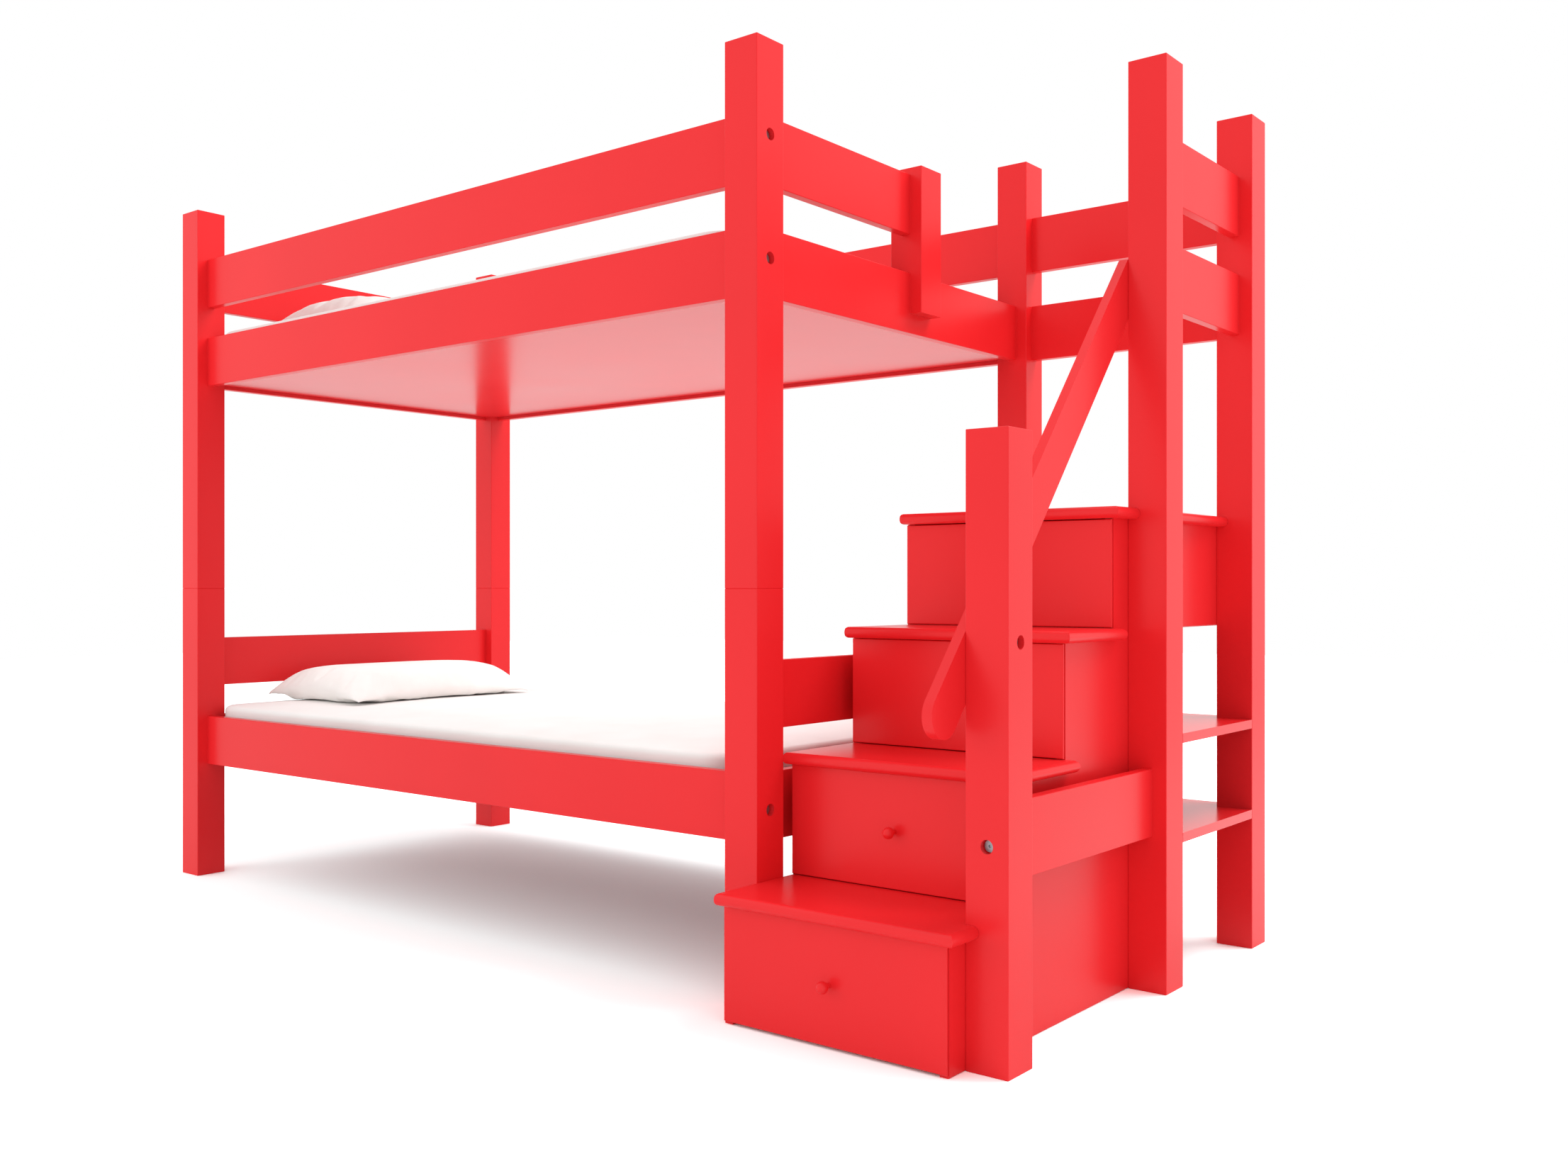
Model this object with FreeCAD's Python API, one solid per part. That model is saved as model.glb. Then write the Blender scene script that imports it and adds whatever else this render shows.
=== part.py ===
import FreeCAD, Part
import math
import os
from FreeCAD import Vector

# Painted wooden bunk bed with a flight of four drawer steps at its foot end.
# The model is drawn with x = 0 at the head posts' outer face and running to the stair end, y = 0 at the
# front posts' front face and running to the back, and z = 0 on the floor. Every piece is moved at the
# end so that the origin lies under the middle of the whole bed. Sizes are in millimetres.

# ---- Driving dimensions -------------------------------------------------------------------------

# Mattresses and the room that the frame leaves around them.
mattress_length = 1905.0
mattress_width = 991.0
mattress_edge_height = 135.5
mattress_crown = 8.0
mattress_corner_radius = 85.0
mattress_edge_radius = 20.0
mattress_crown_inset = 330.0
mattress_crown_rings = 5
head_gap = 5.0
foot_gap = 61.0
side_gap = 7.0

# Posts.
post_side = 80.0
post_height = 1829.0
seam_height = 789.0
newel_height = 1050.0
newel_front = -41.0
tower_front = 572.5
gate_post_front = 561.0
gate_post_rise = 15.0
gate_post_lap = 89.0
edge_ease = 1.5
seam_ease = 1.0

# Rails and boards.
rail_thickness = 22.0
rail_height = 132.0
lower_rail_bottom = 305.0
end_board_bottom = 519.5
upper_rail_drop = 481.0
guard_gap = 84.0
bunk_board_thickness = 12.0
upper_board_recess = 9.5
lower_board_recess = 17.5
board_groove_depth = 8.0
board_fit = 0.3

# Stairs.
stair_width = 476.5
stair_panel = 18.0
thin_panel = 12.0
dust_panel = 6.0
first_rise = 240.0
rise = 236.0
going = 199.3
step_count = 4
first_front = -96.0
tread_thickness = 22.5
nosing = 26.0
side_overhang = 25.5
return_nosing = 16.0
tread_end_radius = 5.0
tread_seat = 35.0
top_box_bottom = 707.0
panel_chamfer = 2.0
post_notch_fit = 0.5

# Shelves under the top step.
shelf_thickness = 19.0
lower_shelf_top = 305.0
upper_shelf_top = 502.0
shelf_back_setback = 17.0
cleat_side = 18.0

# Handrail: a flat board on the inner faces of the newel and the front tower post.
handrail_thickness = 19.0
handrail_width = 78.5
handrail_slope = math.radians(49.57)
handrail_top_at_newel = 767.5
handrail_end_y = -103.0
handrail_level_cut = 1439.0

# Drawers.
drawer_lip = 5.0
drawer_front_thickness = 19.0
drawer_lip_side_gap = 1.5
drawer_lip_top_gap = 1.5
drawer_lip_floor_gap = 1.5
first_drawer_floor_gap = 5.5
drawer_closing_gap = 1.0
drawer_inset_gap = 2.0
drawer_edge_ease = 2.0
drawer_depth = 315.0
drawer_side_height = 150.0
drawer_side_thickness = 15.0
drawer_bottom_thickness = 6.0
drawer_box_lift = 10.0
runner_height = 20.0
runner_length = 285.0
runner_depth = 9.0
runner_top_gap = 0.3
runner_play = 0.7
knob_radius = 11.0
knob_neck_radius = 5.0
knob_neck_length = 9.0
knob_ball_sink = 1.5
knob_tenon_radius = 4.0
knob_tenon_length = 15.0
knob_tenon_fit = 0.1

# Fasteners.
counterbore_radius = 11.75
covered_counterbore_radius = 10.7
counterbore_depth = 14.0
bolt_head_radius = 10.0
bolt_head_thickness = 3.3
bolt_radius = 4.0
bolt_hole_fit = 0.3
bolt_bite = 46.0
bolt_socket_flats = 5.0
bolt_socket_depth = 2.2
barrel_nut_radius = 6.0
barrel_nut_length = 16.0
barrel_nut_setback = 32.0
barrel_nut_fit = 0.1
guard_bolt_lift = 18.0
handrail_bolt_height = 702.0
handrail_bolt_bite = 14.0
tower_handrail_bolt_bite = 40.0
dowel_radius = 6.0
dowel_length = 80.0
dowel_fit = 0.2

# Pillows.
pillow_length = 605.0
pillow_width = 445.0
pillow_height = 96.0
pillow_end_height = 12.0
pillow_side_draw = 20.0
pillow_head_gap = 10.0
pillow_front_gap = 155.0
pillow_seam_low = 5.0
pillow_seam_high = 34.0
pillow_sink = 6.0
pillow_end_low = 1.0
pillow_swell_power = 0.6
pillow_sections = 9
soft_gap = 0.3

# How far a cutter reaches past what it cuts.
cut_margin = 1.0

# ---- Places worked out from the driving dimensions ----------------------------------------------

upper_rail_bottom = post_height - upper_rail_drop
guard_rail_bottom = upper_rail_bottom + rail_height + guard_gap
gate_post_top = guard_rail_bottom + rail_height + gate_post_rise
gate_post_bottom = upper_rail_bottom + rail_height - gate_post_lap
rail_inset = (post_side - rail_thickness) / 2.0
rail_depth = rail_inset + rail_thickness
bed_length = head_gap + mattress_length + foot_gap + 2.0 * rail_depth
bed_width = mattress_width + 2.0 * side_gap + 2.0 * rail_depth
back_post_front = bed_width - post_side
foot_post_left = bed_length - post_side

stair_left = bed_length
tower_left = stair_left + stair_width
tower_right = tower_left + post_side
tower_back = tower_front + post_side
newel_back = newel_front + post_side
inner_panel_right = stair_left + stair_panel
outer_panel_left = tower_left - stair_panel
bay_width = outer_panel_left - inner_panel_right

front_line = [first_front + going * step for step in range(step_count)]
tread_top = [first_rise + rise * step for step in range(step_count)]
step_base = [0.0] + tread_top[:-1]
tread_bottom = [top - tread_thickness for top in tread_top]
panel_front = [front + drawer_lip + drawer_closing_gap for front in front_line]

handrail_drop = handrail_width / 2.0
handrail_end_z = (handrail_top_at_newel + math.tan(handrail_slope) * handrail_end_y
                  - handrail_drop / math.cos(handrail_slope))
bed_front = min(handrail_end_y - handrail_drop,
                first_front - knob_neck_length - 2.0 * knob_radius + knob_ball_sink)
origin = Vector(tower_right / 2.0, (bed_front + bed_width) / 2.0, 0.0)

upper_board_bottom = upper_rail_bottom + upper_board_recess
lower_board_bottom = lower_rail_bottom + lower_board_recess
X_AXIS = Vector(1, 0, 0)
Y_AXIS = Vector(0, 1, 0)
Z_AXIS = Vector(0, 0, 1)


# ---- Small helpers ------------------------------------------------------------------------------

def block(x0, x1, y0, y1, z0, z1):
    """A square-edged board between two corners."""
    return Part.makeBox(x1 - x0, y1 - y0, z1 - z0, Vector(x0, y0, z0))


def is_along(edge, axis):
    """True where a straight edge runs along the axis."""
    ends = edge.Vertexes
    if len(ends) < 2:
        return False
    run = ends[1].Point.sub(ends[0].Point)
    return abs(abs(run.dot(axis)) - run.Length) < 1e-6


def ease_along(shape, axis, radius=edge_ease):
    """Round over every long edge that runs along the axis."""
    return shape.makeFillet(radius, [edge for edge in shape.Edges if is_along(edge, axis)])


def edges_at_height(shape, height):
    """The edges that lie in the level plane at a height."""
    return [edge for edge in shape.Edges
            if all(abs(vertex.Z - height) < 1e-6 for vertex in edge.Vertexes)]


def rod(radius, start, direction, length):
    """A round bar or the drill that makes its hole."""
    return Part.makeCylinder(radius, length, start, direction)


def prism_along_x(points, x0, x1):
    """A board whose outline is given as (y, z) points."""
    corners = [Vector(x0, y, z) for y, z in points]
    face = Part.Face(Part.makePolygon(corners + corners[:1]))
    return face.extrude(Vector(x1 - x0, 0, 0))


nodes = {}


def keep(name, shapes):
    """Store a node: one solid, or a list of separate solids."""
    nodes[name] = shapes if isinstance(shapes, list) else [shapes]


# ---- Posts --------------------------------------------------------------------------------------

def post(x0, y0, z0, z1, eased_ends):
    """A square post with eased edges; a seam end gets only a fine chamfer."""
    shape = block(x0, x0 + post_side, y0, y0 + post_side, z0, z1)
    long_edges = [edge for edge in shape.Edges if is_along(edge, Z_AXIS)]
    end_edges = [edge for height in eased_ends for edge in edges_at_height(shape, height)]
    shape = shape.makeFillet(edge_ease, long_edges + end_edges)
    for height in (z0, z1):
        if height not in eased_ends:
            shape = shape.makeChamfer(seam_ease, edges_at_height(shape, height))
    return shape


bed_corners = {
    "front_head": (0.0, 0.0),
    "front_foot": (foot_post_left, 0.0),
    "back_head": (0.0, back_post_front),
    "back_foot": (foot_post_left, back_post_front),
}
posts = {}
for corner, (left, front) in bed_corners.items():
    posts["post_" + corner + "_lower"] = post(left, front, 0.0, seam_height, [0.0])
    posts["post_" + corner + "_upper"] = post(left, front, seam_height, post_height, [post_height])
posts["tower_post_front"] = post(tower_left, tower_front, 0.0, post_height, [0.0, post_height])
posts["tower_post_back"] = post(tower_left, back_post_front, 0.0, post_height, [0.0, post_height])
posts["newel_post"] = post(tower_left, newel_front, 0.0, newel_height, [0.0, newel_height])


# The upper section stands on the lower one and is located by a pin in both.
dowels = []
for corner, (left, front) in bed_corners.items():
    foot = Vector(left + post_side / 2.0, front + post_side / 2.0, seam_height - dowel_length / 2.0)
    hole_start = foot.sub(Z_AXIS * dowel_fit)
    hole = rod(dowel_radius + dowel_fit, hole_start, Z_AXIS, dowel_length + 2.0 * dowel_fit)
    for level in ("_lower", "_upper"):
        posts["post_" + corner + level] = posts["post_" + corner + level].cut(hole)
    dowels.append(rod(dowel_radius, foot, Z_AXIS, dowel_length))
keep("post_dowels", dowels)


# ---- Rails --------------------------------------------------------------------------------------

def rail_along_x(x0, x1, outer_y, bottom):
    """A rail between two posts, set in from their outer faces; outer_y is its front face."""
    return ease_along(block(x0, x1, outer_y, outer_y + rail_thickness, bottom, bottom + rail_height), X_AXIS)


def rail_along_y(y0, y1, left_x, bottom):
    """A rail that crosses the bed; left_x is its face on the head side."""
    return ease_along(block(left_x, left_x + rail_thickness, y0, y1, bottom, bottom + rail_height), Y_AXIS)


front_rail_y = rail_inset
back_rail_y = bed_width - rail_depth
head_rail_x = rail_inset
foot_rail_x = bed_length - rail_depth
tower_rail_x = tower_right - rail_depth

rails = {}
for name, bottom in (("lower_bed_rail", lower_rail_bottom),
                     ("upper_bed_rail", upper_rail_bottom),
                     ("guard_rail", guard_rail_bottom)):
    rails[name + "_front"] = rail_along_x(post_side, foot_post_left, front_rail_y, bottom)
    rails[name + "_back"] = rail_along_x(post_side, foot_post_left, back_rail_y, bottom)
    rails[name + "_head"] = rail_along_y(post_side, back_post_front, head_rail_x, bottom)
    foot_end = gate_post_front if name == "guard_rail" else back_post_front
    rails[name + "_foot"] = rail_along_y(post_side, foot_end, foot_rail_x, bottom)
rails["tower_rail_back"] = rail_along_x(stair_left, tower_left, back_rail_y, upper_rail_bottom)
rails["tower_guard_back"] = rail_along_x(stair_left, tower_left, back_rail_y, guard_rail_bottom)
rails["tower_rail_side"] = rail_along_y(tower_back, back_post_front, tower_rail_x, upper_rail_bottom)
rails["tower_guard_side"] = rail_along_y(tower_back, back_post_front, tower_rail_x, guard_rail_bottom)
rails["stair_side_rail"] = rail_along_y(newel_back, tower_front, tower_rail_x, lower_rail_bottom)
keep("lower_end_boards", [rail_along_y(post_side, back_post_front, head_rail_x, end_board_bottom),
                          rail_along_y(post_side, back_post_front, foot_rail_x, end_board_bottom)])


# ---- Bunk boards, let into grooves in the rails -------------------------------------------------

def bunk_board(bottom, grow):
    """The sheet that carries a mattress, notched at the posts; grow widens it into its groove's cutter."""
    reach = board_groove_depth - board_fit + grow
    sheet = block(rail_depth - reach, bed_length - rail_depth + reach,
                  rail_depth - reach, bed_width - rail_depth + reach,
                  bottom - grow, bottom + bunk_board_thickness + grow)
    if grow > 0.0:
        return sheet
    for left, front in bed_corners.values():
        notch = block(left - board_fit, left + post_side + board_fit,
                      front - board_fit, front + post_side + board_fit,
                      bottom - cut_margin, bottom + bunk_board_thickness + cut_margin)
        sheet = sheet.cut(notch)
    return sheet


for level, bottom in (("upper", upper_board_bottom), ("lower", lower_board_bottom)):
    keep(level + "_bunk_board", bunk_board(bottom, 0.0))
    groove = bunk_board(bottom, board_fit)
    for side in ("_front", "_back", "_head", "_foot"):
        name = level + "_bed_rail" + side
        rails[name] = rails[name].cut(groove)


# ---- Gate post: forked over the foot rail of the upper bunk, beside the way in from the stairs --

gate_top = block(foot_post_left, bed_length, gate_post_front, gate_post_front + post_side,
                 gate_post_bottom, gate_post_top)
gate_top = gate_top.makeFillet(edge_ease, [edge for edge in gate_top.Edges if is_along(edge, Z_AXIS)]
                               + edges_at_height(gate_top, gate_post_top))
fork = block(foot_rail_x, foot_rail_x + rail_thickness,
             gate_post_front - cut_margin, gate_post_front + post_side + cut_margin,
             gate_post_bottom - cut_margin, upper_rail_bottom + rail_height)
keep("gate_post", gate_top.cut(fork))


# ---- Bolts: flat heads sunk in counterbores, with barrel nuts in the rails ----------------------

def hexagonal_socket(centre, direction):
    """The cutter of a key's socket, measured across its flats."""
    across = Z_AXIS * (bolt_socket_flats / math.sqrt(3.0))
    corners = [centre.add(FreeCAD.Rotation(direction, 60.0 * turn).multVec(across)) for turn in range(6)]
    return Part.Face(Part.makePolygon(corners + corners[:1])).extrude(direction * bolt_socket_depth)


def bolt(head_centre, direction, length):
    """A connector bolt: flat head with a socket, then a plain shank that runs in the direction."""
    head = rod(bolt_head_radius, head_centre, direction, bolt_head_thickness)
    socket = hexagonal_socket(head_centre, direction)
    shank_start = head_centre.add(direction * bolt_head_thickness)
    return head.cut(socket).fuse(rod(bolt_radius, shank_start, direction, length))


def counterbored_hole(face_point, direction, through, sink_radius=counterbore_radius):
    """The counterbore and the clearance hole of a bolt, as one cutter."""
    sink = rod(sink_radius, face_point, direction, counterbore_depth)
    return sink.fuse(rod(bolt_radius + bolt_hole_fit, face_point, direction, through))


def head_place(face_point, direction):
    """Where a bolt's head starts, so that its underside sits on the counterbore's floor."""
    return face_point.add(direction * (counterbore_depth - bolt_head_thickness))


bolts = []


def bolt_rail(post_name, rail_name, face_point, direction, nut_axis, sink_radius=counterbore_radius):
    """Bolt a rail's end to a post: counterbore, hole, bolt, and a barrel nut across the rail."""
    hole = counterbored_hole(face_point, direction, post_side + bolt_bite + bolt_hole_fit, sink_radius)
    posts[post_name] = posts[post_name].cut(hole)
    rail_end = face_point.add(direction * post_side)
    rail = rails[rail_name].cut(rod(bolt_radius + bolt_hole_fit, rail_end, direction,
                                    bolt_bite + bolt_hole_fit))
    nut_centre = rail_end.add(direction * barrel_nut_setback)
    nut_start = nut_centre.sub(nut_axis * (barrel_nut_length - rail_thickness / 2.0))
    pocket = rod(barrel_nut_radius + barrel_nut_fit, nut_start, nut_axis, barrel_nut_length + cut_margin)
    rails[rail_name] = rail.cut(pocket)
    nut = rod(barrel_nut_radius, nut_start, nut_axis, barrel_nut_length)
    bore_start = nut_centre.sub(direction * (barrel_nut_radius + cut_margin))
    bore = rod(bolt_radius + barrel_nut_fit, bore_start, direction, 2.0 * (barrel_nut_radius + cut_margin))
    length = post_side - counterbore_depth + bolt_bite
    bolts.append(bolt(head_place(face_point, direction), direction, length))
    bolts.append(nut.cut(bore))


middle = post_side / 2.0
rail_middle = rail_height / 2.0
bolt_levels = (("_lower", "lower_bed_rail", lower_rail_bottom + rail_middle),
               ("_upper", "upper_bed_rail", upper_rail_bottom + rail_middle),
               ("_upper", "guard_rail", guard_rail_bottom + rail_middle + guard_bolt_lift))
# Every nut goes in from a rail's back face, so that none shows from the front. The stair side and the
# tower's rails end over the bolts of the back foot post, so the counterbores there are narrower.
for side, row_y, foot_sink in (("front", middle, counterbore_radius),
                               ("back", bed_width - middle, covered_counterbore_radius)):
    for section, rail, height in bolt_levels:
        bolt_rail("post_" + side + "_head" + section, rail + "_" + side,
                  Vector(0.0, row_y, height), X_AXIS, Y_AXIS)
        bolt_rail("post_" + side + "_foot" + section, rail + "_" + side,
                  Vector(bed_length, row_y, height), -X_AXIS, Y_AXIS, foot_sink)
side_rail_row = tower_left + middle
side_rail_height = lower_rail_bottom + rail_middle
bolt_rail("newel_post", "stair_side_rail",
          Vector(side_rail_row, newel_front, side_rail_height), Y_AXIS, -X_AXIS)
bolt_rail("tower_post_front", "stair_side_rail",
          Vector(side_rail_row, tower_back, side_rail_height), -Y_AXIS, -X_AXIS)


# ---- Handrail -----------------------------------------------------------------------------------

slope_run = Vector(0, math.cos(handrail_slope), math.sin(handrail_slope))
slope_up = Vector(0, -math.sin(handrail_slope), math.cos(handrail_slope))
handrail_start = Vector(tower_left - handrail_thickness, handrail_end_y, handrail_end_z)
handrail_length = (tower_back - handrail_end_y) / math.cos(handrail_slope) + handrail_width
run_end = handrail_start.add(slope_run * handrail_length)
half_up = slope_up * handrail_drop
lower_arc = Part.Arc(handrail_start.add(half_up), handrail_start.sub(slope_run * handrail_drop),
                     handrail_start.sub(half_up)).toShape()
outline = Part.Wire([lower_arc,
                     Part.makeLine(handrail_start.sub(half_up), run_end.sub(half_up)),
                     Part.makeLine(run_end.sub(half_up), run_end.add(half_up)),
                     Part.makeLine(run_end.add(half_up), handrail_start.add(half_up))])
handrail = Part.Face(outline).extrude(Vector(handrail_thickness, 0, 0))
beyond = 2.0 * handrail_length
handrail = handrail.cut(block(tower_left - handrail_thickness - cut_margin, tower_left + cut_margin,
                              handrail_end_y - beyond, handrail_end_y + beyond,
                              handrail_level_cut, handrail_level_cut + beyond))
handrail = handrail.cut(block(tower_left - handrail_thickness - cut_margin, tower_left + cut_margin,
                              tower_back, tower_back + beyond,
                              0.0, handrail_level_cut + beyond))

# One bolt comes through the newel from outside; the other holds the top end from the stair side.
newel_face = Vector(tower_right, newel_front + middle, handrail_bolt_height)
newel_hole = counterbored_hole(newel_face, -X_AXIS, post_side + handrail_bolt_bite + bolt_hole_fit)
posts["newel_post"] = posts["newel_post"].cut(newel_hole)
handrail = handrail.cut(newel_hole)
bolts.append(bolt(head_place(newel_face, -X_AXIS), -X_AXIS,
                  post_side - counterbore_depth + handrail_bolt_bite))
top_bolt_y = tower_front + middle
top_bolt_height = (handrail_end_z + (top_bolt_y - handrail_end_y) * math.tan(handrail_slope))
top_bolt_face = Vector(tower_left - handrail_thickness - bolt_head_thickness, top_bolt_y, top_bolt_height)
top_hole = rod(bolt_radius + bolt_hole_fit, top_bolt_face, X_AXIS,
               bolt_head_thickness + handrail_thickness + tower_handrail_bolt_bite + bolt_hole_fit)
handrail = handrail.cut(top_hole)
posts["tower_post_front"] = posts["tower_post_front"].cut(top_hole)
bolts.append(bolt(top_bolt_face, X_AXIS, handrail_thickness + tower_handrail_bolt_bite))
keep("handrail", handrail)
keep("frame_bolts", bolts)
for name, shape in list(posts.items()) + list(rails.items()):
    keep(name, shape)


# ---- Stair carcass ------------------------------------------------------------------------------

def stepped_outline(back_points):
    """The stair side's outline in (y, z): up the risers and along the treads, then round the back."""
    points = [(panel_front[0], 0.0)]
    for step in range(step_count):
        points.append((panel_front[step], tread_bottom[step]))
        if step + 1 < step_count:
            points.append((panel_front[step + 1], tread_bottom[step]))
    return points + back_points


inner_back = [(bed_width, tread_bottom[-1]), (bed_width, 0.0)]
outer_back = [(bed_width, tread_bottom[-1]), (bed_width, top_box_bottom),
              (tower_back, top_box_bottom), (tower_back, 0.0)]
side_inner = prism_along_x(stepped_outline(inner_back), stair_left, inner_panel_right)
side_outer = prism_along_x(stepped_outline(outer_back), outer_panel_left, tower_left)


def outer_bottom_edges(shape, height):
    """Bottom edges on the visible outer face, which get a fine chamfer."""
    return [edge for edge in edges_at_height(shape, height)
            if all(abs(vertex.X - tower_left) < 1e-6 for vertex in edge.Vertexes)]


side_outer = side_outer.makeChamfer(panel_chamfer, outer_bottom_edges(side_outer, 0.0)
                                    + outer_bottom_edges(side_outer, top_box_bottom))
keep("stair_side_inner", side_inner)
keep("stair_side_outer", side_outer)

stair_back_front = tower_back - thin_panel
inner_panels = [block(inner_panel_right, outer_panel_left, stair_back_front, tower_back,
                      0.0, top_box_bottom)]
for step in range(step_count - 1):
    inner_panels.append(block(inner_panel_right, outer_panel_left,
                              panel_front[step + 1] - tread_seat, stair_back_front,
                              tread_bottom[step] - thin_panel, tread_bottom[step]))
top_box_back = bed_width - thin_panel
inner_panels.append(block(inner_panel_right, outer_panel_left, panel_front[-1], top_box_back,
                          top_box_bottom, top_box_bottom + dust_panel))
inner_panels.append(block(inner_panel_right, outer_panel_left, top_box_back, bed_width,
                          top_box_bottom, tread_bottom[-1]))
keep("stair_inner_panels", inner_panels)


# ---- Treads: bullnosed at the front, along the open side and round the return at the back -------

def capsule_profile(start, end, z0, z1, start_round, end_round):
    """A flat bar's outline with a radius on each end, as (run, height) lines and arcs in order."""
    pieces = []
    low, high = z0, z1
    s, e = start_round, end_round
    corner = math.sqrt(0.5)
    pieces.append(("line", (start + s, low), (end - e, low)))
    pieces.append(("arc", (end - e, low), (end - e + e * corner, low + e - e * corner), (end, low + e)))
    if high - low > 2.0 * e + 1e-6:
        pieces.append(("line", (end, low + e), (end, high - e)))
    pieces.append(("arc", (end, high - e), (end - e + e * corner, high - e + e * corner), (end - e, high)))
    pieces.append(("line", (end - e, high), (start + s, high)))
    pieces.append(("arc", (start + s, high), (start + s - s * corner, high - s + s * corner),
                   (start, high - s)))
    if high - low > 2.0 * s + 1e-6:
        pieces.append(("line", (start, high - s), (start, low + s)))
    pieces.append(("arc", (start, low + s), (start + s - s * corner, low + s - s * corner),
                   (start + s, low)))
    return pieces


def profile_face(pieces, place):
    """A face from lines and arcs, each point put in space by the place function."""
    edges = []
    for piece in pieces:
        points = [place(*point) for point in piece[1:]]
        if piece[0] == "line":
            edges.append(Part.makeLine(*points))
        else:
            edges.append(Part.Arc(*points).toShape())
    return Part.Face(Part.Wire(edges))


def tread(step, back, shoulder):
    """One tread: the front nosing's profile crossed with the side nosing's, which mitres the corner.

    back is the return nosing's end and shoulder is where the tread meets the next step's panels."""
    z0, z1 = tread_bottom[step], tread_top[step]
    nose = tread_thickness / 2.0
    y0 = front_line[step] - nosing
    x1 = tower_left + side_overhang
    along = profile_face(capsule_profile(y0, back, z0, z1, nose, nose),
                         lambda run, height: Vector(stair_left, run, height))
    across = profile_face(capsule_profile(stair_left, x1, z0, z1, tread_end_radius, nose),
                          lambda run, height: Vector(run, y0, height))
    shape = along.extrude(Vector(x1 - stair_left, 0, 0)).common(across.extrude(Vector(0, back - y0, 0)))
    return shape.cut(block(stair_left - cut_margin, tower_left, shoulder, back + cut_margin,
                           z0 - cut_margin, z1 + cut_margin))


def post_cutter(x0, y0, x1, y1, step):
    """The notch that lets a tread pass a post."""
    return block(x0 - post_notch_fit, x1, y0 - post_notch_fit, y1 + post_notch_fit,
                 tread_bottom[step] - cut_margin, tread_top[step] + cut_margin)


treads = []
for step in range(step_count - 1):
    treads.append(tread(step, front_line[step + 1] + return_nosing, panel_front[step + 1]))
newel_notch = post_cutter(tower_left, newel_front, tower_right, newel_back, 0)
keep("tread_bottom", treads[0].cut(newel_notch))
keep("treads_middle", treads[1:])

top_step = step_count - 1
tread_back = bed_width + tread_thickness
top_tread = tread(top_step, tread_back, tread_back)
top_tread = top_tread.cut(block(stair_left - cut_margin, tower_right, bed_width, tread_back + cut_margin,
                                tread_bottom[top_step] - cut_margin, tread_top[top_step] + cut_margin))
top_tread = top_tread.cut(post_cutter(tower_left, tower_front, tower_right, tower_back, top_step))
top_tread = top_tread.cut(post_cutter(tower_left, back_post_front, tower_right, bed_width, top_step))
keep("tread_top", top_tread)


# ---- Shelves under the top step, on cleats ------------------------------------------------------

shelves = []
cleats = []
shelf_back = bed_width - shelf_back_setback
for top in (lower_shelf_top, upper_shelf_top):
    shelf = block(inner_panel_right, tower_right, tower_back, shelf_back, top - shelf_thickness, top)
    notch = block(tower_left - post_notch_fit, tower_right + cut_margin, back_post_front - post_notch_fit,
                  shelf_back + cut_margin, top - shelf_thickness - cut_margin, top + cut_margin)
    shelves.append(shelf.cut(notch))
    under = top - shelf_thickness
    cleats.append(block(inner_panel_right, inner_panel_right + cleat_side, tower_back + cleat_side,
                        shelf_back, under - cleat_side, under))
    cleats.append(block(inner_panel_right, outer_panel_left, tower_back, tower_back + cleat_side,
                        under - cleat_side, under))
    cleats.append(block(tower_left, tower_left + cleat_side, back_post_front - cleat_side,
                        back_post_front, under - cleat_side, under))
keep("shelves", shelves)
keep("shelf_cleats", cleats)


# ---- Drawers: rabbeted front, grooved box hung on wooden runners, ball knob ---------------------

runner_rise = (drawer_side_height - runner_height) / 2.0
groove_depth = runner_depth - drawer_inset_gap + runner_play
runners = []


def drawer_front(step, floor_gap):
    """A front board whose thin lip covers the panels' edges and whose body fits between them."""
    y0 = front_line[step]
    z0 = step_base[step] + floor_gap
    z1 = tread_bottom[step] - drawer_lip_top_gap
    lip = block(stair_left + drawer_lip_side_gap, tower_left - drawer_lip_side_gap,
                y0, y0 + drawer_lip, z0, z1)
    front_edges = [edge for edge in lip.Edges
                   if all(abs(vertex.Y - y0) < 1e-6 for vertex in edge.Vertexes)]
    lip = lip.makeFillet(drawer_edge_ease, front_edges)
    body = block(inner_panel_right + drawer_inset_gap, outer_panel_left - drawer_inset_gap,
                 y0 + drawer_lip, y0 + drawer_front_thickness,
                 z0 + drawer_inset_gap, z1 - drawer_inset_gap)
    front = lip.fuse(body).removeSplitter()
    knob_z = (z0 + z1) / 2.0
    tenon = Vector(stair_left + stair_width / 2.0, y0 + knob_tenon_length + knob_tenon_fit, knob_z)
    hole = rod(knob_tenon_radius + knob_tenon_fit, tenon, -Y_AXIS, drawer_front_thickness)
    return front.cut(hole), knob_z


def knob(step, height):
    """A turned ball on a short neck, with a tenon that is glued into the front."""
    y0 = front_line[step]
    base = Vector(stair_left + stair_width / 2.0, y0, height)
    tenon = rod(knob_tenon_radius, base.add(Y_AXIS * knob_tenon_length), -Y_AXIS, knob_tenon_length)
    neck = rod(knob_neck_radius, base, -Y_AXIS, knob_neck_length)
    ball = Part.makeSphere(knob_radius, base.sub(Y_AXIS * (knob_neck_length + knob_radius - knob_ball_sink)))
    return tenon.fuse(neck).fuse(ball).removeSplitter()


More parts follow.
